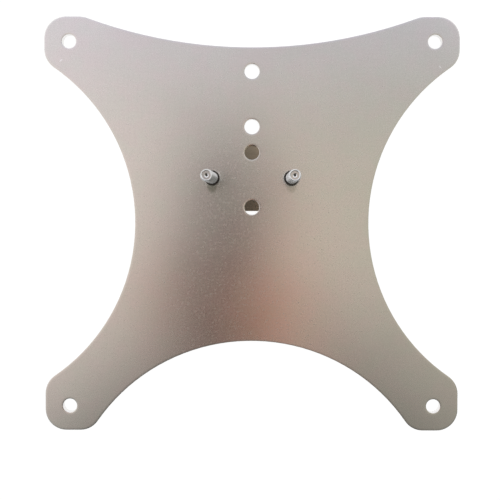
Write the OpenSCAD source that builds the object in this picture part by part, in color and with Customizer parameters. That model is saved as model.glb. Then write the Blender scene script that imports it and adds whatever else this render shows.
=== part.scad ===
// Number plate bracket: a flat square sheet with four arms, which lies on a
// short mounting bar. Two press-in studs stand in the bar and pass up through
// the sheet. The back of the bar is at z = 0, the centre of the sheet is at
// x = 0 and y = 0, +Y points to the edge with the shallow arc, and the studs
// point along +Z.

/* [Sheet] */
// Width of the sheet, along X
plate_w = 177; // [160:1:200]
// Height of the sheet, along Y
plate_h = 177; // [160:1:200]
// Thickness of the sheet
plate_t = 2; // [1:0.5:4]
// Radius of every rounded corner of the outline
corner_r = 9; // [6:0.5:11]

/* [Edge arcs] */
// Depth of the arc that cuts into the left edge, and of the one in the right
side_arc_depth = 38.6; // [20:0.1:42]
// Height of the middle of these two arcs above the sheet's centre
side_arc_rise = 0.9; // [-2:0.1:2]
// Depth of the arc that cuts into the bottom edge
bottom_arc_depth = 38.5; // [20:0.1:42]
// Depth of the shallow arc that cuts into the top edge
top_arc_depth = 13; // [6:0.1:16]
// Straight stretch of edge between a rounded corner and the rounded end of an arc
land = 6; // [3:0.1:9]

/* [Corner holes] */
// Diameter of the hole in each arm, for the number plate's rivets or screws
corner_hole_d = 6; // [4:0.1:8]
// Distance of each of these holes from the two nearest edges
corner_hole_inset = 10.5; // [8.5:0.1:13]

/* [Centre holes] */
// Diameter of the four holes on the centre line, which make two pairs
centre_hole_d = 6.4; // [4.5:0.1:7]
// Distance of the topmost hole below the lowest point of the shallow arc
top_hole_inset = 10.2; // [7:0.1:14]
// Distance between the two holes of a pair
pair_pitch = 34.5; // [31.5:0.1:37]
// How far the lower pair lies below the upper pair
pair_step = 23.5; // [18:0.1:26.5]

/* [Mounting bar] */
// How far the bar reaches past the middle of each stud, along X
bar_end = 8; // [5:0.5:20]
// Width of the bar, along Y
bar_h = 28.5; // [20:0.5:40]
// Thickness of the bar
bar_t = 3; // [2:0.5:5]
// Radius of the bar's four corners
bar_corner_r = 2; // [0.5:0.5:5]

/* [Studs] */
// Outer diameter of the thread
stud_d = 5; // [4:0.5:5.5]
// Length of a stud, from the back of its head to its tip
stud_length = 25; // [16:1:35]
// Distance between the two studs
stud_pitch = 34; // [28:0.5:38]
// How far the studs lie below the topmost hole
stud_drop = 45.4; // [42:0.1:49]
// Diameter of a stud's head
head_d = 7.8; // [7.4:0.1:8]
// Thickness of a stud's head, which is sunk flush into the bar
head_t = 1; // [0.6:0.1:1.4]
// Diameter of the shoulder that grips the bar
shoulder_d = 6; // [5.8:0.1:6.6]
// How much smaller the bare neck below the thread is than the thread
neck_relief = 0.6; // [0.3:0.1:1]
// Length of neck that shows above the sheet
neck_above = 0.2; // [0.1:0.1:1]
// Width and height of the chamfer at the tip
tip_chamfer = 0.65; // [0.3:0.05:0.9]
// Width of the flat ring between the chamfer and the dimple
tip_ring = 0.45; // [0.1:0.05:0.6]
// Depth of the dimple in the tip
dimple_depth = 0.45; // [0.1:0.05:0.8]

/* [Fits] */
// Free space all round a stud where it passes through the sheet
stud_clearance = 0.7; // [0.3:0.1:1]
// Free space all round the head and the shoulder in the bar
press_clearance = 0.02; // [0.01:0.01:0.05]

/* [Hidden] */
$fn = 96;
// How far a cutting shape runs past the faces it cuts
cut = 1;
half_w = plate_w / 2;
half_h = plate_h / 2;
// The sheet lies on the bar
front_z = bar_t + plate_t;
top_hole_y = half_h - top_arc_depth - top_hole_inset;
centre_hole_ys = [for (step = [0, pair_step], drop = [0, pair_pitch]) top_hole_y - step - drop];
stud_y = top_hole_y - stud_drop;
bar_w = stud_pitch + 2 * bar_end;

// A rectangle about the origin with four rounded corners
module rounded_rect(w, h, r) {
    square([w - 2 * r, h], center = true);
    square([w, h - 2 * r], center = true);
    for (x = [-1, 1], y = [-1, 1])
        translate([x * (w / 2 - r), y * (h / 2 - r)]) circle(r);
}

// What an arc of this depth takes out of the edge that runs along y = edge_y
// between the sheet's corners at x = -half_span and x = half_span. A blend
// circle of corner_r rounds each end of the arc. It touches both the edge and
// the arc, and that gives the arc its radius.
module edge_arc(edge_y, half_span, depth) {
    blend_x = half_span - corner_r - land;
    blend_y = edge_y - corner_r;
    // Distance between the centres of the arc and of a blend circle
    reach = (blend_x ^ 2 + depth ^ 2) / (2 * depth);
    arc_r = reach - corner_r;
    arc_y = edge_y - depth + arc_r;
    // The point where the arc and a blend circle touch
    touch_x = blend_x * arc_r / reach;
    touch_y = arc_y + (blend_y - arc_y) * arc_r / reach;
    translate([0, arc_y]) circle(arc_r, $fn = 360);
    difference() {
        polygon([
            [-blend_x, edge_y + cut], [blend_x, edge_y + cut], [blend_x, edge_y],
            [touch_x, touch_y], [-touch_x, touch_y], [-blend_x, edge_y]
        ]);
        for (side = [-1, 1]) translate([side * blend_x, blend_y]) circle(corner_r);
    }
}

// The outline of the sheet, with an arc in each edge
module plate_outline() {
    difference() {
        rounded_rect(plate_w, plate_h, corner_r);
        edge_arc(half_h, half_w, top_arc_depth);
        rotate(180) edge_arc(half_h, half_w, bottom_arc_depth);
        for (turn = [90, -90])
            translate([0, side_arc_rise]) rotate(turn) edge_arc(half_w, half_h, side_arc_depth);
    }
}

module corner_holes() {
    for (x = [-1, 1], y = [-1, 1])
        translate([x * (half_w - corner_hole_inset), y * (half_h - corner_hole_inset)])
            circle(d = corner_hole_d);
}

module centre_holes() {
    for (y = centre_hole_ys) translate([0, y]) circle(d = centre_hole_d);
}

// Puts its children where the stud on this side stands: -1 is left, 1 is right
module at_stud(side) {
    translate([side * stud_pitch / 2, stud_y]) children();
}

module plate() {
    color([0.76, 0.73, 0.70])
        translate([0, 0, bar_t])
            linear_extrude(plate_t)
                difference() {
                    plate_outline();
                    corner_holes();
                    centre_holes();
                    for (side = [-1, 1]) at_stud(side) circle(d = stud_d + 2 * stud_clearance);
                }
}

// A hole through the bar that a stud is pressed into from behind
module stud_seat() {
    translate([0, 0, -cut]) {
        cylinder(d = shoulder_d + 2 * press_clearance, h = bar_t + 2 * cut);
        cylinder(d = head_d + 2 * press_clearance, h = head_t + cut);
    }
}

module mounting_bar() {
    color([0.56, 0.52, 0.47])
        difference() {
            translate([0, stud_y])
                linear_extrude(bar_t) rounded_rect(bar_w, bar_h, bar_corner_r);
            for (side = [-1, 1]) at_stud(side) stud_seat();
        }
}

// One stud, as half its outline turned about its axis: flush head, shoulder,
// neck, thread, and a chamfered tip with a dimple
module stud() {
    thread_r = stud_d / 2;
    neck_r = thread_r - neck_relief / 2;
    neck_z = front_z + neck_above;
    tip_r = thread_r - tip_chamfer;
    color([0.80, 0.81, 0.83])
        rotate_extrude()
            polygon([
                [0, 0],
                [head_d / 2, 0],
                [head_d / 2, head_t],
                [shoulder_d / 2, head_t],
                [shoulder_d / 2, bar_t],
                [neck_r, bar_t],
                [neck_r, neck_z],
                [thread_r, neck_z],
                [thread_r, stud_length - tip_chamfer],
                [tip_r, stud_length],
                [tip_r - tip_ring, stud_length],
                [0, stud_length - dimple_depth]
            ]);
}

module stud_left() {
    at_stud(-1) stud();
}

module stud_right() {
    at_stud(1) stud();
}

plate();
mounting_bar();
stud_left();
stud_right();
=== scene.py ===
# %% [markdown]
# # A number plate bracket in satin aluminium
# The bracket is a flat square sheet with four arms. A number plate is fixed to the
# arms. A short bar lies behind the sheet, and two threaded studs stand in the bar and
# come up through the sheet, to be bolted to a vehicle.
#
# The solids come with the frame, at their real size. +Z is up, the back of the bar
# lies on z = 0, and the middle of the sheet is at x = 0 and y = 0. This lesson gives
# them worn edges, a thread and a finish, and then lights them and looks straight down.

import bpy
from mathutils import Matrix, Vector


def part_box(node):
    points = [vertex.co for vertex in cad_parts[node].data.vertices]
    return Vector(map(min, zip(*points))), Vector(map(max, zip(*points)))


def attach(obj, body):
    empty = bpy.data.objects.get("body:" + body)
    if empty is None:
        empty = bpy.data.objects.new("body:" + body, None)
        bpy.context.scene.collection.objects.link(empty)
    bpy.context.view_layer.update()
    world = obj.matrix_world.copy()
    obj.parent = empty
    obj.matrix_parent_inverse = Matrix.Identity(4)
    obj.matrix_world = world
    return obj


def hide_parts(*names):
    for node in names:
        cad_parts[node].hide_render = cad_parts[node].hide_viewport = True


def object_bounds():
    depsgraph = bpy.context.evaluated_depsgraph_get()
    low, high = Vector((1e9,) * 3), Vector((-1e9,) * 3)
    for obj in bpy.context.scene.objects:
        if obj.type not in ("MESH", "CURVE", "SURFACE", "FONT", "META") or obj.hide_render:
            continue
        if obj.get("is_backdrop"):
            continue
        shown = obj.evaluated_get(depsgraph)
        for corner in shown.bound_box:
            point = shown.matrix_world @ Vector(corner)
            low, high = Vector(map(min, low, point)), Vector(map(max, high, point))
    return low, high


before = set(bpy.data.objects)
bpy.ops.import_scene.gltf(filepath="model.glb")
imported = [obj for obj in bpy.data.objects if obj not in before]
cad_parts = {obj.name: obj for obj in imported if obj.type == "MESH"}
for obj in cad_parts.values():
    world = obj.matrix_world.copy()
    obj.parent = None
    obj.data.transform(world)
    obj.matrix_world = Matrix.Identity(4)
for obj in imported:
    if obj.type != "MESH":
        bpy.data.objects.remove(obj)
cad_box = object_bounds()
print("solids:", sorted(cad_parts))

# %% [markdown]
# ## Tools and units
# The modelling is done by Blender's own operators, and Python's maths gives the angles.
# Blender counts in metres. All lengths could be written in metres too, but 0.0001 is
# hard to read as a tenth of a millimetre. So MM holds one millimetre, and a length in
# millimetres is multiplied by it.

# %% Tools and units
import math

import bpy
from mathutils import Vector

MM = 0.001
sheet_low, sheet_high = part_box("plate")
sheet_width = (sheet_high.x - sheet_low.x) / MM
sheet_thickness = (sheet_high.z - sheet_low.z) / MM
print(f"sheet {sheet_width:.1f} mm wide, {sheet_thickness:.1f} mm thick")

# %% [markdown]
# ## One piece at a time
# On the bench a piece is clamped before it is worked, so that nothing else moves. An
# operator in Blender acts on all that is selected, and the solids arrive selected.
# Each step could clear the selection by itself. A few small helpers do it instead,
# because every later step then starts in the same plain way. One more of them picks
# faces by a rule, such as all that look up.


# %% Pick one piece, open its mesh and close it
def only(piece):
    """Selects this piece and nothing else."""
    bpy.ops.object.select_all(action="DESELECT")
    piece.select_set(True)
    bpy.context.view_layer.objects.active = piece


def edit(piece):
    """Opens a piece's mesh with all of it selected."""
    only(piece)
    bpy.ops.object.mode_set(mode="EDIT")
    bpy.ops.mesh.select_mode(type="VERT")
    bpy.ops.mesh.select_all(action="SELECT")


def close():
    """Goes back from the mesh to the piece."""
    bpy.ops.object.mode_set(mode="OBJECT")


def pick_faces(piece, wanted):
    """Selects the faces for which wanted(face) is true, and gives their number."""
    for part in (piece.data.vertices, piece.data.edges, piece.data.polygons):
        part.foreach_set("select", [False] * len(part))
    for face in piece.data.polygons:
        face.select = bool(wanted(face))
    return sum(face.select for face in piece.data.polygons)


only(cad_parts["plate"])
print("selected:", [piece.name for piece in bpy.context.selected_objects])

# %% [markdown]
# ## Whole faces
# The sheet and the bar are cut from flat stock, and their solids are exact already.
# They could be drawn again from a plane, point by point. A copy of the solid is the
# better start, because the outline and the holes are then sure to be right. Its mesh
# is loose triangles, so they are joined and merged into whole faces. A bevel needs
# that: it has to know which faces meet at an edge.


# %% Copy a solid
def whole_faced_copy(node, name):
    """A new piece in the shape of a solid, with its triangles merged into faces."""
    piece = bpy.data.objects.new(name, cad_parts[node].data.copy())
    bpy.context.scene.collection.objects.link(piece)
    edit(piece)
    bpy.ops.mesh.customdata_custom_splitnormals_clear()
    bpy.ops.mesh.remove_doubles(threshold=0.001 * MM)
    bpy.ops.mesh.dissolve_limited(angle_limit=math.radians(0.4))
    close()
    only(piece)
    bpy.ops.object.shade_smooth()
    return piece


sheet = whole_faced_copy("plate", "satin_sheet")
bar = whole_faced_copy("mounting_bar", "back_bar")
for piece in (sheet, bar):
    print(piece.name, len(piece.data.polygons), "whole faces")

# %% [markdown]
# ## The rolled-over edge
# A punch draws the sheet down a little along the cut before the metal parts. So the
# front of the real sheet falls away over the last millimetre, round the outline and
# round every hole. In the light it is a soft line, dark on one side of the bracket and
# pale on the other.
#
# A wide bevel could stand for it, but a bevel falls as far as it is wide. Here the whole
# front is lowered a little. It is then inset twice, and each inset climbs a part of the
# way back, so that the slope is steepest at the edge.

# %% Lower the front and climb back by insets
# The width of each inset and how far it climbs
climbs = ((0.4 * MM, 0.02 * MM), (0.7 * MM, 0.015 * MM))
front_faces = pick_faces(sheet, lambda face: face.normal.z > 0.9)
only(sheet)
bpy.ops.object.mode_set(mode="EDIT")
bpy.ops.mesh.select_mode(type="FACE")
whole_rise = sum(rise for width, rise in climbs)
bpy.ops.transform.translate(value=(0, 0, -whole_rise))
for width, rise in climbs:
    bpy.ops.mesh.inset(thickness=width, depth=rise)
close()
print(front_faces, "front faces, rolled over by", round(whole_rise / MM, 3), "mm")

# %% [markdown]
# ## Worn edges
# A cut leaves a sharp edge, and it is then broken with a file or in a tumbler. On the
# real bracket it is a thin bright line round each hole and along each arm, because a
# round edge always has a spot that faces the light.
#
# The edges could be beveled by hand in edit mode. The Bevel modifier finds them all by
# their angle. A Weighted Normal modifier then keeps the flat faces flat, so that only
# the narrow round catches the light.


# %% Round the edges
def apply_modifier(piece, kind, **settings):
    """Adds a modifier, sets it up and makes it part of the mesh."""
    only(piece)
    bpy.ops.object.modifier_add(type=kind)
    modifier = piece.modifiers[-1]
    for name, value in settings.items():
        setattr(modifier, name, value)
    bpy.ops.object.modifier_apply(modifier=modifier.name)


def round_edges(piece, width):
    """Rounds every sharp edge by this width. Flat faces keep their flat look."""
    apply_modifier(
        piece, "BEVEL", width=width, segments=3, limit_method="ANGLE",
        angle_limit=math.radians(40), harden_normals=False,
    )
    apply_modifier(piece, "WEIGHTED_NORMAL", mode="FACE_AREA", weight=100, keep_sharp=False)


def triangles(piece):
    """How many triangles a piece's faces come to."""
    return sum(len(face.vertices) - 2 for face in piece.data.polygons)


for piece, edge_round in ((sheet, 0.1 * MM), (bar, 0.2 * MM)):
    round_edges(piece, edge_round)
    print(piece.name, triangles(piece), "triangles")

# %% [markdown]
# ## A stud's blank
# A clinch stud is turned from bar: a flush head that is pressed into the back of the
# mounting bar, a shoulder that grips it, a bare neck, and a body with a chamfered tip.
# Rolling the thread leaves the tip cupped, with a small pit in its middle.
#
# The solid could be dressed as it is, but its tip has only a plain dimple and its body
# is smooth. So the outline is listed anew, as the radius and the height of each ring.
# The place, the length and the head's width are still read from the solid.

# %% The rings of the blank
stud_sides = 64
stud_low, stud_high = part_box("stud_left")
head_radius = (stud_high.x - stud_low.x) / 2 / MM
tip = stud_high.z / MM
stud_x = -(stud_low.x + stud_high.x) / 2 / MM
stud_y = (stud_low.y + stud_high.y) / 2 / MM
head_height = 1
shoulder_radius = 3
bar_top = 3
neck_radius = 2.2
thread_start = 5.2
shaft_radius = 2.6
# Radius and height of each ring in millimetres, from the head's back to the tip's pit
head = [(head_radius - 0.12, 0), (head_radius, 0.12), (head_radius, 0.92), (head_radius - 0.08, head_height)]
shoulder = [(shoulder_radius, head_height), (shoulder_radius, bar_top)]
neck = [(neck_radius, bar_top), (neck_radius, thread_start), (shaft_radius, thread_start + 0.3)]
chamfer = [(shaft_radius, tip - 1.0), (2.34, tip - 0.42), (2.22, tip - 0.20)]
ridge = [(2.08, tip - 0.05), (1.97, tip), (1.87, tip - 0.04), (1.78, tip - 0.13), (1.72, tip - 0.16)]
cup = [(1.64, tip - 0.17), (1.56, tip - 0.17), (0.94, tip - 0.18), (0.88, tip - 0.18)]
pit = [(0.80, tip - 0.20), (0.50, tip - 0.34), (0.42, tip - 0.42), (0.32, tip - 0.90), (0.08, tip - 0.94)]
blank_rings = head + shoulder + neck + chamfer + ridge + cup + pit
print(len(blank_rings), "rings, the widest", round(head_radius, 2), "mm in radius")

# %% [markdown]
# ## Growing the blank
# The rings could be joined into half an outline and spun about the axis, but the ends
# of a spun shape then have to be closed. Here the blank grows like a stack on a lathe
# instead. A disc is laid down, and its top face is extruded and resized ring by ring,
# which keeps it closed all the way.


# %% Grow the blank from a disc
def grow_blank(name):
    """Stacks the rings into one closed solid about the Z axis."""
    radius, height = blank_rings[0]
    bpy.ops.mesh.primitive_circle_add(
        vertices=stud_sides, radius=radius * MM, fill_type="NGON", location=(0, 0, height * MM)
    )
    blank = bpy.context.object
    blank.name = name
    edit(blank)
    for next_radius, next_height in blank_rings[1:]:
        rise = (0, 0, (next_height - height) * MM)
        share = next_radius / radius
        bpy.ops.mesh.extrude_region_move(TRANSFORM_OT_translate={"value": rise})
        bpy.ops.transform.resize(value=(share, share, 1), center_override=(0, 0, next_height * MM))
        radius, height = next_radius, next_height
    bpy.ops.mesh.select_all(action="SELECT")
    bpy.ops.mesh.normals_make_consistent(inside=False)
    close()
    return blank


blank = grow_blank("stud_blank")
print("blank:", triangles(blank), "triangles")

# %% [markdown]
# ## One tooth of the thread
# The studs carry a thread of 5 mm with a pitch of 0.8 mm. A real thread is rolled: one
# groove runs round and round, with flanks at about 60 degrees. A stack of rings would
# look right from afar, but a thread is a helix, so its flanks slope and it has one
# start. So a single tooth is drawn as a chain of points, and the Screw modifier
# carries it round and up into a long open rod.

# %% Draw the tooth and screw it up
pitch = 0.8
root_radius = 2.07
crest_radius = 2.49
root_flat = 0.16
crest_flat = 0.06
# Shares of a flank that are straight and that round over into the crest
straight = 0.85
rounded = 0.15
# Height that the rounding adds to each flank
round_height = 0.02
rod_low = 4.9
rod_high = tip + 0.5
rod_start = rod_low - 2 * pitch
crest = crest_radius - root_radius
flank = (pitch - root_flat - crest_flat - 2 * round_height) / 2
# Steps outwards and upwards: the root, then a flank, the rounded crest and a flank
tooth = [
    (0, root_flat),
    (straight * crest, straight * flank),
    (rounded * crest, rounded * flank + round_height),
    (0, crest_flat),
    (-rounded * crest, rounded * flank + round_height),
    (-straight * crest, straight * flank),
]
bpy.ops.mesh.primitive_plane_add(size=MM, location=(0, 0, 0))
rod = bpy.context.object
rod.name = "thread_rod"
edit(rod)
bpy.ops.mesh.merge(type="CENTER")
bpy.ops.transform.translate(value=(root_radius * MM, 0, rod_start * MM))
for out, up in tooth:
    bpy.ops.mesh.extrude_region_move(TRANSFORM_OT_translate={"value": (out * MM, 0, up * MM)})
close()
apply_modifier(
    rod, "SCREW", axis="Z", angle=math.tau, screw_offset=pitch * MM, use_merge_vertices=False,
    iterations=math.ceil((rod_high - rod_start) / pitch) + 1, steps=stud_sides, render_steps=stud_sides,
)
rise_of_tooth = sum(up for out, up in tooth)
print("tooth rises", round(rise_of_tooth, 3), "mm a turn, rod has", triangles(rod), "triangles")

# %% [markdown]
# ## A closed rod
# The screwed surface is an open tube. On the real stud the thread simply stops at the
# neck and at the chamfer. Both ends could be closed with faces by hand. Two level cuts
# do it cleanly, because bisect fills the cut that it makes. The lower end is then drawn
# out into a wide skirt, which will let the head and the neck through untouched when the
# rod and the blank are intersected.


# %% Cut the rod level and draw out its skirt
def cut_level(height, **side):
    """Cuts the open mesh level at this height, drops one side and closes the cut."""
    bpy.ops.mesh.select_all(action="SELECT")
    bpy.ops.mesh.bisect(
        plane_co=(0, 0, height * MM), plane_no=(0, 0, 1), use_fill=True, threshold=1e-4 * MM, **side
    )


# The skirt starts a little below the cut, gets three times as wide and ends below the head
skirt_start = 0.02
skirt_share = 3
skirt_end = rod_low + 1
edit(rod)
bpy.ops.mesh.remove_doubles(threshold=0.002 * MM)
cut_level(rod_high, clear_outer=True)
cut_level(rod_low, clear_inner=True)
bpy.ops.mesh.normals_make_consistent(inside=False)
bpy.ops.mesh.select_mode(type="FACE")
close()
floor_faces = pick_faces(rod, lambda face: face.center.z < (rod_low + 0.001) * MM)
bpy.ops.object.mode_set(mode="EDIT")
for share, rise in ((1, -skirt_start), (skirt_share, 0), (1, -skirt_end)):
    bpy.ops.mesh.extrude_region_move(TRANSFORM_OT_translate={"value": (0, 0, rise * MM)})
    bpy.ops.transform.resize(value=(share, share, 1), center_override=(0, 0, 0))
bpy.ops.mesh.select_all(action="SELECT")
bpy.ops.mesh.normals_make_consistent(inside=False)
close()
print(floor_faces, "faces closed the rod below")
print("rod has", triangles(rod), "triangles with its skirt")

# %% [markdown]
# ## Two studs from one
# Where the blank and the rod overlap is the stud: the blank keeps its head and neck,
# the body gets the thread, and the chamfer thins the last turn as on the real one.
# Each stud could be made from scratch. Both come out of the same machine, so one is
# made on the Z axis, and each stud is a copy of it with a mesh of its own, moved to
# its place in the bar.

# %% Intersect the blank and the rod, and stand the studs in the bar
smooth_below = math.radians(38)


def threaded_stud(name, node):
    """A copy of the finished stud, standing where the solid stands."""
    low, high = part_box(node)
    stud = bpy.data.objects.new(name, blank.data.copy())
    bpy.context.scene.collection.objects.link(stud)
    only(stud)
    stud.location = ((low.x + high.x) / 2, (low.y + high.y) / 2, 0)
    bpy.ops.object.transform_apply(location=True)
    bpy.ops.object.shade_smooth_by_angle(angle=smooth_below)
    return stud


apply_modifier(blank, "BOOLEAN", operation="INTERSECT", solver="EXACT", object=rod)
left_stud = threaded_stud("threaded_stud_left", "stud_left")
right_stud = threaded_stud("threaded_stud_right", "stud_right")
bpy.data.objects.remove(blank)
bpy.data.objects.remove(rod)
for stud in (left_stud, right_stud):
    print(stud.name, triangles(stud), "triangles")

# %% [markdown]
# ## Shader sums as plain Python
# A finish is mostly arithmetic on patterns. It could be wired up node by node, but a
# row of Math nodes is hard to read. This small class holds one socket. Adding to it or
# multiplying it adds the Math node, so a mask is written as 1 - speck * 0.3. Every
# other node comes from its node method.


# %% A class for sockets
class Wire:
    """One socket in a node tree, on which arithmetic adds Math nodes."""

    def __init__(self, tree, socket=None):
        self.tree = tree
        self.socket = socket

    def node(self, kind, feeds=None, **settings):
        """Adds a node, sets it up, feeds its sockets and gives its first output.

        A socket is named, or numbered among those that the settings leave in use.
        """
        made = self.tree.nodes.new("ShaderNode" + kind)
        for name, value in settings.items():
            setattr(made, name, value)
        in_use = [socket for socket in made.inputs if socket.enabled]
        for key, value in (feeds or {}).items():
            socket = in_use[key] if isinstance(key, int) else made.inputs[key]
            if isinstance(value, Wire):
                self.tree.links.new(value.socket, socket)
            else:
                socket.default_value = value
        outputs = [socket for socket in made.outputs if socket.enabled]
        return Wire(self.tree, outputs[0] if outputs else None)

    def output(self, name):
        """Another output of the node that this wire comes from."""
        return Wire(self.tree, self.socket.node.outputs[name])

    def maths(self, operation, other=None, swapped=False):
        """A Math node on this wire, and on another wire or number if there is one."""
        values = [self] if other is None else [self, other]
        if swapped:
            values.reverse()
        return self.node("Math", dict(enumerate(values)), operation=operation)

    def __add__(self, other):
        return self.maths("ADD", other)

    def __sub__(self, other):
        return self.maths("SUBTRACT", other)

    def __rsub__(self, other):
        return self.maths("SUBTRACT", other, swapped=True)

    def __mul__(self, other):
        return self.maths("MULTIPLY", other)

    def __truediv__(self, other):
        return self.maths("DIVIDE", other)

    def __rtruediv__(self, other):
        return self.maths("DIVIDE", other, swapped=True)

    def __pow__(self, other):
        return self.maths("POWER", other)

    __radd__ = __add__
    __rmul__ = __mul__

    def between(self, low, high):
        """0 at low or less, 1 at high or more, and a soft step in between."""
        feeds = {0: self, 1: low, 2: high}
        return self.node("MapRange", feeds, interpolation_type="SMOOTHSTEP")

    def blend(self, first, other):
        """A colour that is the first one where this wire is 0 and the other where it is 1."""
        return self.node("Mix", {0: self, 1: first, 2: other}, data_type="RGBA")


def colour(red, green, blue):
    """A shader colour, from linear light."""
    return (red, green, blue, 1)


methods = [name.strip("_") for name, value in vars(Wire).items() if callable(value)]
print("a Wire can:", ", ".join(methods))

# %% [markdown]
# ## Patterns at their real size
# Rolled metal is never even: it has grain, cloudy patches and a few marks from
# handling. A photograph of such a surface could be laid over it, but then it would
# stretch at the edges and repeat. Noise can be worked out at any place instead, from
# the place on the piece in metres, so a speckle of one millimetre is one millimetre
# from every side.


# %% Noise, marks and an empty finish
def new_finish(name):
    """An empty finish, and a wire that carries the place on the piece in metres."""
    finish = bpy.data.materials.new(name)
    finish.use_nodes = True
    finish.node_tree.nodes.clear()
    place = Wire(finish.node_tree).node("TexCoord").output("Object")
    return finish, place


def grain(place, size, stretch=(1, 1, 1), detail=2.0, seed=0.0):
    """A noise whose spots are about size millimetres across, times stretch."""
    scale = tuple(1 / (size * MM * share) for share in stretch)
    feeds = {"Vector": place, "Scale": scale, "Location": (seed, seed * 1.7, seed * 0.6)}
    spots = place.node("Mapping", feeds)
    return spots.node("TexNoise", {"Vector": spots, "Scale": 1.0, "Detail": detail, "Roughness": 0.55})


def mark(place, x, y, length, width, angle):
    """1 in a short soft mark, whose middle is at x and y in millimetres."""
    feeds = {"Vector": place, "Location": (x * MM, y * MM, 0), "Rotation": (0, 0, math.radians(angle))}
    turned = place.node("Mapping", feeds, vector_type="TEXTURE")
    along = turned.node("SeparateXYZ", {0: turned})
    x_share = along / (length / 2 * MM)
    y_share = along.output("Y") / (width / 2 * MM)
    return 1 - (x_share * x_share + y_share * y_share).between(0.3, 1.3)


def bump(height, depth):
    """A surface normal from a height of 0 to 1 that stands for depth millimetres."""
    return height.node("Bump", {"Height": height, "Strength": 1.0, "Distance": depth * MM})


def metal(place, feeds):
    """Closes a finish with bare metal, fed with what varies over it."""
    shader = place.node("BsdfPrincipled", {"Metallic": 1.0, **feeds})
    place.node("OutputMaterial", {"Surface": shader})


grain_size = 0.95
print("the grain of the sheet is", grain_size, "mm across")

# %% [markdown]
# ## Finish of the sheet
# Mill-finished aluminium is not brushed. The rolls press the fine marks of their own
# ground surface into it, along and across, like very faint linen. Between them it is
# speckled with tiny facets, and some of them are duller than the rest. Two short marks
# from handling show in its upper arms, and below each stud a soft dark patch is painted:
# a painted shadow of the stud with its dark reflection.
#
# A single noise could stand for all of that and would look like sand. So each gets a
# noise of its own, with its own size, stretch or seed. They move the colour, the
# roughness and the height by very little, because the metal is even at arm's length.


# %% Satin aluminium
# The painted shadow below each stud is about as wide as a stud, and its upper end lies under it
shadow_width = 4.6
shadow_height = 6.6
shadow_y = stud_y - 3.3


def satin_aluminium():
    finish, place = new_finish("satin_aluminium")
    speck = grain(place, grain_size, detail=1.0, seed=1)
    dull_speck = grain(place, grain_size, detail=1.0, seed=21).between(0.50, 0.78)
    lines = grain(place, grain_size, (10, 1, 1), detail=1.0, seed=3)
    linen = lines + grain(place, grain_size, (1, 10, 1), detail=1.0, seed=8)
    cloud = grain(place, 26, detail=3.0, seed=5)
    drift = grain(place, 8, seed=12).between(0.36, 0.64)
    left_mark = mark(place, x=-81.4, y=69.8, length=1.7, width=0.6, angle=40)
    right_mark = mark(place, x=80.1, y=67.3, length=1.4, width=0.6, angle=-55)
    marks = left_mark + right_mark
    # Painted shadow and reflection of each stud on the sheet, half as strong below the right one
    left_stud_shadow = mark(place, x=-stud_x, y=shadow_y, length=shadow_width, width=shadow_height, angle=0)
    right_stud_shadow = mark(place, x=stud_x, y=shadow_y, length=shadow_width, width=shadow_height, angle=0)
    stud_shadow = left_stud_shadow + right_stud_shadow * 0.5
    tone = 0.5 + (speck - 0.5) * 0.3 + (linen - 1.0) * 0.18 + (cloud - 0.5) * 0.4
    rosy = tone.blend(colour(0.69, 0.65, 0.63), colour(0.85, 0.81, 0.785))
    olive = tone.blend(colour(0.67, 0.66, 0.625), colour(0.83, 0.82, 0.78))
    tint = drift.blend(rosy, olive)
    tint = marks.blend(tint, colour(0.95, 0.94, 0.93))
    # Painted shadow: the colour darkens below each stud
    tint = (stud_shadow * 0.75).blend(tint, colour(0.34, 0.35, 0.29))
    metal(place, {
        "Base Color": tint,
        "Roughness": 0.235 + dull_speck * 0.05 + (cloud - 0.5) * 0.04,
        "Normal": bump(speck * 0.6 + linen * 0.4, depth=0.0025),
    })
    return finish


satin = satin_aluminium()
print(satin.name, "has", len(satin.node_tree.nodes), "nodes")

# %% [markdown]
# ## Finish of the cut edge
# The punch leaves upright ridges on the outline and in the holes, about a third of a
# millimetre apart. They could be modelled, but they are far too many and too shallow.
# A noise that is drawn out along Z and feeds a bump shows them as well.


# %% Cut edge
def cut_edge():
    finish, place = new_finish("cut_edge")
    ridges = grain(place, 0.3, (1, 1, 14), seed=2)
    metal(place, {
        "Base Color": ridges.blend(colour(0.80, 0.79, 0.78), colour(0.97, 0.96, 0.95)),
        "Roughness": 0.30 + ridges * 0.12,
        "Normal": bump(ridges, depth=0.03),
    })
    return finish


edge = cut_edge()
print(edge.name, "has", len(edge.node_tree.nodes), "nodes")

# %% [markdown]
# ## Finish of the bar
# The bar is a strip of plain aluminium, smoother than the sheet and darker and browner
# than it, with the long fine lines of its rolling along it. The same noise could serve as on
# the sheet. Here it is stretched forty times along X, which turns spots into lines.


# %% Bar aluminium
def bar_aluminium():
    finish, place = new_finish("rolled_aluminium")
    lines = grain(place, 0.3, (40, 1, 1), seed=4)
    cloud = grain(place, 12, seed=6)
    tone = 0.5 + (lines - 0.5) * 0.4 + (cloud - 0.5) * 0.6
    metal(place, {
        "Base Color": tone.blend(colour(0.42, 0.37, 0.30), colour(0.55, 0.49, 0.40)),
        "Roughness": 0.12 + lines * 0.04,
        "Normal": bump(lines, depth=0.004),
    })
    return finish


rolled = bar_aluminium()
print(rolled.name, "has", len(rolled.node_tree.nodes), "nodes")

# %% [markdown]
# ## Finish of the studs
# The studs are steel with a thin bright coat of zinc. The coat is a little cloudy. A
# flat grey metal would look like plastic on so small a piece. So two noises of
# different size break up its colour, and the finer one its shine.
#
# Painted shade darkens the foot of each stud, down in its hole, and the pit of its tip,
# where little light gets in. It is painted by its height and by its distance from the
# stud's axis. The two studs stand at the same distance on either side of the middle, so
# one rule with the absolute value of X serves both.


# %% Zinc
# Heights in millimetres between which the painted shade of the foot comes in and goes out
foot_shade_starts = (2.0, 2.8)
foot_shade_ends = (4.3, 5.1)
# Squares of the distances from the axis, in millimetres, between which the painted shade of the pit ends
pit_rim = (0.13, 0.26)


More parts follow.
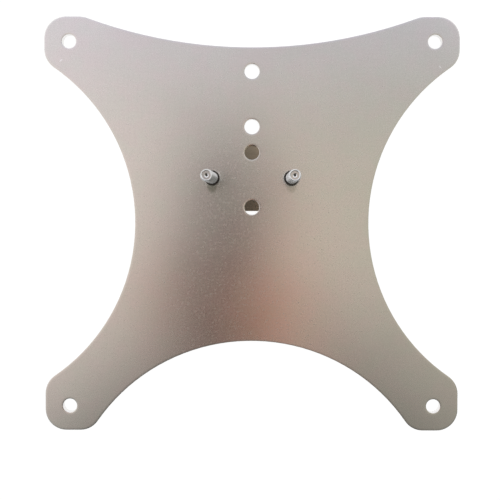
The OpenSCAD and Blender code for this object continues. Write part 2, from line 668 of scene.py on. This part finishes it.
def zinc_steel():
    finish, place = new_finish("zinc_steel")
    speck = grain(place, 0.25, detail=3.0, seed=7)
    cloud = grain(place, 2.0, seed=9)
    across = place.node("SeparateXYZ", {0: place})
    height = across.output("Z") / MM
    from_axis_x = across.maths("ABSOLUTE") / MM - stud_x
    from_axis_y = across.output("Y") / MM - stud_y
    off_axis = (from_axis_x * from_axis_x + from_axis_y * from_axis_y).between(*pit_rim)
    # Painted shade round the foot of each stud, down in its hole
    foot_shade = height.between(*foot_shade_starts) * (1 - height.between(*foot_shade_ends))
    # Painted shade in the pit of the tip
    pit_shade = height.between(tip - 3, tip - 2) * (1 - off_axis)
    coat = (cloud * 0.7 + speck * 0.3).blend(colour(0.60, 0.60, 0.61), colour(0.92, 0.91, 0.90))
    metal(place, {
        # Painted shade: the foot and the pit are darkened to near black
        "Base Color": (foot_shade + pit_shade).blend(coat, colour(0.12, 0.115, 0.11)),
        "Roughness": 0.20 + speck * 0.10,
        "Normal": bump(speck, depth=0.006),
    })
    return finish


zinc = zinc_steel()
print(zinc.name, "has", len(zinc.node_tree.nodes), "nodes")

# %% [markdown]
# ## Each piece gets its finish
# The bar and the studs have one finish each. The sheet has two: its faces are rolled
# and its edges are cut. The edge could be a piece of its own, but it is the same
# metal. So the faces that don't look up or down are picked by their normals and are
# given the second finish.


# %% Put the finishes on
def dress(piece, *finishes):
    """Gives a piece its finishes. All its faces start with the first one."""
    piece.data.materials.clear()
    for finish in finishes:
        piece.data.materials.append(finish)


dress(sheet, satin, edge)
dress(bar, rolled)
dress(left_stud, zinc)
dress(right_stud, zinc)
edge_faces = pick_faces(sheet, lambda face: abs(face.normal.z) < 0.5)
only(sheet)
bpy.ops.object.mode_set(mode="EDIT")
sheet.active_material_index = 1
bpy.ops.object.material_slot_assign()
close()
print(edge_faces, "of", len(sheet.data.polygons), "faces of the sheet are cut edge")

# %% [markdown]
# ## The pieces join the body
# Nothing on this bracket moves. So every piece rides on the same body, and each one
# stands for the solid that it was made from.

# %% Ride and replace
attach(sheet, "root")
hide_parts("plate")
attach(bar, "root")
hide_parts("mounting_bar")
for stud, node in ((left_stud, "stud_left"), (right_stud, "stud_right")):
    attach(stud, "root")
    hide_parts(node)
riders = [piece.name for piece in (sheet, bar, left_stud, right_stud)]
print(len(riders), "pieces ride on root:", ", ".join(riders))

# %% [markdown]
# ## The tent
# A flat sheet of metal mirrors what hangs over it, so what is above it draws its
# tones. The bracket lies in a tent of pale cloth. The sheet mirrors the roof of the
# tent, and the studs mirror its walls.
#
# Cloth planes with a material could be hung over the bracket, but they would shade it
# and show in side views. The world can hold the same tones, because only the direction
# matters: for a roof at a height of 1, each direction meets it at one place. A piece of
# cloth is then an oval round such a place, with a soft rim.

# %% Directions in the tent
world = bpy.data.worlds.new("tent")
bpy.context.scene.world = world
world.use_nodes = True
world.node_tree.nodes.clear()
sky = Wire(world.node_tree).node("TexCoord")
towards_x = sky.node("SeparateXYZ", {0: sky})
towards_y = towards_x.output("Y")
towards_z = towards_x.output("Z")
roof_height = towards_z.maths("MAXIMUM", 0.02)
east = towards_x / roof_height
north = towards_y / roof_height


def patch(x, y, half_width, half_height, softness, lean=0.0):
    """1 in the middle of an oval in the roof, falling to 0 outside it."""
    x_share = (east - (north - y) * lean - x) / half_width
    y_share = (north - y) / half_height
    falling = 0 - (x_share * x_share + y_share * y_share) ** softness
    return falling.maths("EXPONENT")


print("the directions take", len(world.node_tree.nodes), "nodes")

# %% [markdown]
# ## The cloth of the tent
# The roof is warm and bright over the front left, dimmer and greener over the back
# right, and bluer towards the back, like daylight. A dark cloth hangs in front. Next to
# the opening that the camera looks through there is a copper-brown curtain with a dark
# gap in it, and a narrow rosy strip. In the sheet they are one soft smoky patch. The
# walls are bright behind the bracket and dark in front of it, which gives each stud a
# light side and a dark side. Near the floor both are closer to grey.
#
# All of it could be one ramp of colours, but a ramp runs one way only. Each cloth is
# laid over the ones before it instead, and the walls come last.

# %% Tones of the tent
warm_side = (0 - north * 0.94 - east).between(-0.60, 0.47)
front = patch(x=-0.10, y=-0.875, half_width=0.64, half_height=0.62, softness=2.7, lean=0.23)
rosy_strip = patch(x=0.052, y=-0.19, half_width=0.037, half_height=0.317, softness=1.5, lean=-0.03)
curtain = patch(x=-0.08, y=-0.23, half_width=0.176, half_height=0.128, softness=1.7, lean=-0.23)
gap = patch(x=-0.118, y=-0.222, half_width=0.08, half_height=0.39, softness=2.0)
opening = patch(x=-0.035, y=-0.016, half_width=0.077, half_height=0.169, softness=3.0)
cloth = warm_side.blend(colour(0.53, 0.51, 0.40), colour(0.90, 0.82, 0.76))
cloth = north.between(-0.05, 1.18).blend(cloth, colour(0.86, 0.88, 1.30))
cloth = front.blend(cloth, colour(0.04, 0.05, 0.045))
cloth = rosy_strip.blend(cloth, colour(1.28, 0.87, 0.71))
cloth = curtain.blend(cloth, colour(0.50, 0.12, 0.02))
cloth = gap.blend(cloth, colour(0.02, 0.02, 0.025))
cloth = opening.blend(cloth, colour(0.065, 0.065, 0.06))
behind = (towards_y - towards_x * 0.3).between(-0.62, 0.15)
wall = behind.blend(colour(0.06, 0.07, 0.06), colour(1.15, 1.16, 1.17))
low_wall = behind.blend(colour(0.27, 0.27, 0.26), colour(0.70, 0.70, 0.70))
wall = towards_z.between(0.24, 0.44).blend(low_wall, wall)
wall_share = (0.85 - towards_z).between(0.0, 0.20)
cloth = wall_share.blend(cloth, wall)
print("the tent has", len(world.node_tree.nodes), "nodes so far")

# %% [markdown]
# ## The tent and the camera
# In the picture itself the tent would be a dark room behind the bracket. The real
# picture has a white ground. So rays that come straight from the camera see white,
# and every other ray sees the cloth.

# %% Light from the tent
seen = sky.node("LightPath")
tent_light = sky.node("Background", {"Color": cloth, "Strength": 1.0})
white = sky.node("Background", {"Color": colour(1, 1, 1), "Strength": 1.0})
sky.node("OutputWorld", {"Surface": sky.node("MixShader", {0: seen, 1: tent_light, 2: white})})
print("the world has", len(world.node_tree.nodes), "nodes with its light")

# %% [markdown]
# ## Two soft lamps
# Two lamps stand behind the bracket, one on each side, and face its middle. They add a
# little to the shine of the studs and to the soft shadow in front of them. They could
# do all of the lighting, but the sheet mirrors them from the front and would be white
# there. So they are large and weak, and the bright wall of the tent does the most.


# %% Lamps
def soft_lamp(name, place, size, watts, tint):
    """A square lamp that faces the middle of the bracket."""
    bpy.ops.object.light_add(type="AREA", location=place)
    lamp = bpy.context.object
    lamp.name = name
    lamp.data.size = size
    lamp.data.energy = watts
    lamp.data.color = tint
    lamp.rotation_euler = Vector(place).to_track_quat("Z", "Y").to_euler()
    print(name, watts, "W at", place)


soft_lamp("window_lamp", place=(-0.75, 0.95, 0.75), size=0.7, watts=0.3, tint=(0.96, 0.97, 1.0))
soft_lamp("wall_lamp", place=(0.85, 0.80, 0.70), size=0.7, watts=0.25, tint=(1.0, 0.99, 0.96))

# %% [markdown]
# ## The floor
# The bracket lies on white paper. Paper bright enough to look white would throw so
# much light back that the edges glow. So the camera and the mirroring metal see a
# paper with a glow of its own, on which the shadow still falls, and all other light
# meets plain pale paper.

# %% Floor
bpy.ops.mesh.primitive_plane_add(size=6.0, location=(0, 0, 0))
floor = bpy.context.object
floor.name = "floor"
floor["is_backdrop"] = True
paper, place = new_finish("white_paper")
rays = place.node("LightPath")
seen = rays.maths("MAXIMUM", rays.output("Is Glossy Ray"))
seen = seen.maths("MAXIMUM", rays.output("Is Transmission Ray"))
glow = place.node("Emission", {"Color": colour(1, 1, 1), "Strength": 0.95})
lit = place.node("BsdfDiffuse", {"Color": colour(0.14, 0.14, 0.14)})
shown = place.node("AddShader", {0: glow, 1: lit})
plain = place.node("BsdfDiffuse", {"Color": colour(0.8, 0.8, 0.8)})
place.node("OutputMaterial", {"Surface": place.node("MixShader", {0: seen, 1: plain, 2: shown})})
dress(floor, paper)
print("the floor is", round(floor.dimensions.x, 1), "m wide")

# %% [markdown]
# ## The camera
# The picture is taken from close by, 194 mm above the sheet, which is why the studs
# lean outwards. The camera looks straight down from a place above and to the right of
# the bracket's middle. It could be tilted towards the middle, but then the square
# would look tapered. So its frame is shifted instead, and the sheet stays square. A
# turn of less than a degree stands for the hand that held it.

# %% Camera
camera_place = (4.05 * MM, 10.24 * MM, 199 * MM)
camera_turn = (math.radians(-0.64), math.radians(0.05), math.radians(0.10))
bpy.ops.object.camera_add(location=camera_place, rotation=camera_turn)
camera = bpy.context.object
camera.data.sensor_width = 36
camera.data.lens = 32.68
camera.data.shift_x = -0.0217
camera.data.shift_y = -0.0888
camera.data.clip_start = 0.01
bpy.context.scene.camera = camera
bpy.context.scene.view_settings.view_transform = "Standard"
print("camera", round((camera_place[2] - sheet_high.z) / MM), "mm above the sheet")

# %% [markdown]
# ## The sizes, once more
# A finish must not change the size of what it covers. The box of the dressed bracket
# is measured and printed beside the box of the bare solids.

# %% Sizes
visual_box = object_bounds()
boxes = {
    "cad": [list(corner) for corner in cad_box],
    "visual": [list(corner) for corner in visual_box],
}
for name, (low, high) in boxes.items():
    print(name, [round((b - a) / MM, 2) for a, b in zip(low, high)], "mm")
